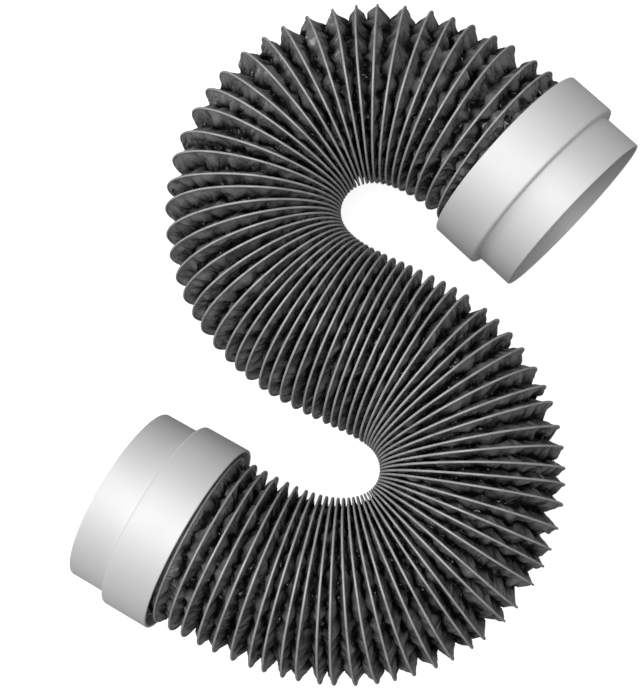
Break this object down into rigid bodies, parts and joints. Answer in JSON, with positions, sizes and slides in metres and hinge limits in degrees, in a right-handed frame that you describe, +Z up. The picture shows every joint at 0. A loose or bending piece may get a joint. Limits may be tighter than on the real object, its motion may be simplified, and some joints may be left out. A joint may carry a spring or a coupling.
{
  "type": "dryer vent hose",
  "caption": "Flexible pleated wire-helix duct hose lying in an S, with a stepped round collar on each end for joining a dryer to a vent duct.",
  "frame": {"origin": "middle of the footprint, on the floor that the hose lies on", "axes": "+Z up, square to the floor; +Y along the length of the S, from the lower bend to the upper bend; +X to the right as the picture shows it, towards the right collar"},
  "size_m": [0.3186, 0.3928, 0.1144],
  "materials": {
    "film_black": "glossy crumpled laminate film",
    "wire_steel": "drawn spring wire under a bonded strip of film",
    "collar_metal": "satin"
  },
  "bodies": {
    "root": {"film_sleeve_1": "film_black", "film_sleeve_2": "film_black", "film_sleeve_3": "film_black", "film_sleeve_4": "film_black", "film_sleeve_5": "film_black", "film_sleeve_6": "film_black", "wire_helix": "wire_steel", "collar_right": "collar_metal", "collar_left": "collar_metal"}
  },
  "joints": []
}
